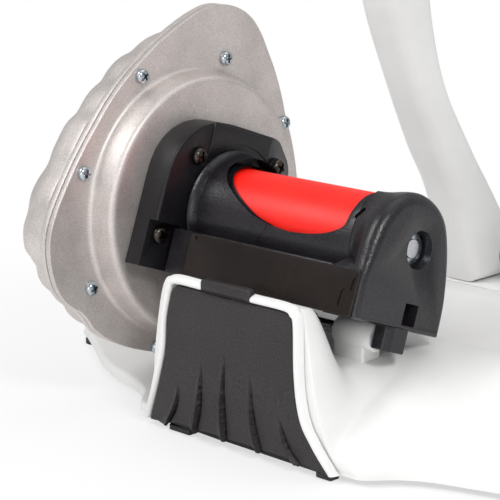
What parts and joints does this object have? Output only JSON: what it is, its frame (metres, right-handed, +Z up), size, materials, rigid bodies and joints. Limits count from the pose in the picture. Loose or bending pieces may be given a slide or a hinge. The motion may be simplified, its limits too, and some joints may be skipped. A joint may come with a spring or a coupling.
{
  "type": "wheel-on bicycle turbo trainer",
  "caption": "Turbo trainer that holds a bicycle by its rear axle between two crescent arms, with a tilting fluid-brake roller unit for the tyre on a low legged base.",
  "frame": {"origin": "centre of the rear rubber sole, on the floor in the bicycle wheel's plane", "axes": "+X the rider's right, +Y the way the bicycle faces, +Z up"},
  "size_m": [0.4, 0.407, 0.3944],
  "materials": {
    "white_plastic": "satin moulded plastic",
    "black_plastic": "fine matt texture",
    "gloss_black": "glossy",
    "black_rubber": "matt",
    "red_elastomer": "smooth hard elastomer",
    "aluminium": "satin blasted",
    "cast_aluminium": "as cast",
    "steel": "ground",
    "zinc_steel": "bluish zinc plate",
    "black_steel": "black oxide"
  },
  "bodies": {
    "base": {"base_shell": "white_plastic", "foot_border": "white_plastic", "foot_pad": "black_rubber", "stop_tab": "black_rubber", "rear_sole": "black_rubber", "left_leg_pad": "black_rubber", "right_leg_pad": "black_rubber", "left_front_pad": "black_rubber", "right_front_pad": "black_rubber", "front_foot": "white_plastic", "left_joint_screw": "zinc_steel", "right_joint_screw": "zinc_steel", "hinge_pin": "steel", "hinge_clip": "black_steel", "tilt_spring": "steel"},
    "fork": {"fork_tube": "steel", "left_fork_plug": "black_plastic", "right_fork_plug": "black_plastic", "left_arm": "white_plastic", "right_arm": "white_plastic", "right_sleeve": "steel", "left_sleeve": "steel", "lever_bracket": "black_steel", "lever_pin": "steel"},
    "left_slider": {"left_axle_cup": "steel", "left_spindle": "steel"},
    "right_slider": {"right_axle_cup": "steel"},
    "knob": {"right_spindle": "steel", "adjuster_knob": "black_plastic"},
    "lever": {"quick_lever": "black_plastic"},
    "unit": {"left_cradle": "black_plastic", "right_cradle": "black_plastic", "end_cap": "black_plastic", "label_plate": "gloss_black", "mounting_block": "black_plastic", "rear_block_screw": "black_steel", "lower_rear_block_screw": "black_steel", "front_block_screw": "black_steel", "lower_front_block_screw": "black_steel", "cover_plate": "aluminium", "cover_gasket": "black_rubber", "finned_casing": "cast_aluminium", "left_bearing": "steel", "right_bearing": "steel", "shaft_seal": "black_rubber", "cover_screw_1": "zinc_steel", "cover_screw_2": "zinc_steel", "cover_screw_3": "zinc_steel", "cover_screw_4": "zinc_steel", "cover_screw_5": "zinc_steel", "cover_screw_6": "zinc_steel", "cover_screw_7": "zinc_steel", "cover_screw_8": "zinc_steel"},
    "rotor": {"rotor_shaft": "steel", "roller_core": "black_plastic", "roller_sleeve": "red_elastomer", "retaining_collar": "zinc_steel", "impeller": "cast_aluminium"}
  },
  "joints": [
    {"name": "unit_tilt", "type": "hinge", "parent": "base", "child": "unit", "pos_m": [0, 0.026, 0.058], "axis": [-1, 0, 0], "range_deg": [0, 8]},
    {"name": "rotor_spin", "type": "hinge", "parent": "unit", "child": "rotor", "pos_m": [0, 0.039, 0.1], "axis": [-1, 0, 0], "continuous": true},
    {"name": "fork_fold", "type": "hinge", "parent": "base", "child": "fork", "pos_m": [0, 0.31, 0.026], "axis": [-1, 0, 0], "range_deg": [0, 90]},
    {"name": "lever_turn", "type": "hinge", "parent": "fork", "child": "lever", "pos_m": [-0.1337, 0.26879, 0.37386], "axis": [0, 1, 0], "range_deg": [0, 120]},
    {"name": "left_cup_slide", "type": "slide", "parent": "fork", "child": "left_slider", "axis": [1, 0, 0], "range_m": [-0.0034, 0]},
    {"name": "right_cup_slide", "type": "slide", "parent": "fork", "child": "right_slider", "axis": [1, 0, 0], "range_m": [-0.006, 0.006]},
    {"name": "knob_turn", "type": "hinge", "parent": "right_slider", "child": "knob", "pos_m": [0.1413, 0.26879, 0.37386], "axis": [1, 0, 0], "range_deg": [-540, 540]}
  ],
  "couplings": [
    {"joint": "left_cup_slide", "follows": "lever_turn", "m_per_rad": -0.0016},
    {"joint": "right_cup_slide", "follows": "knob_turn", "m_per_rad": 0.000636}
  ]
}
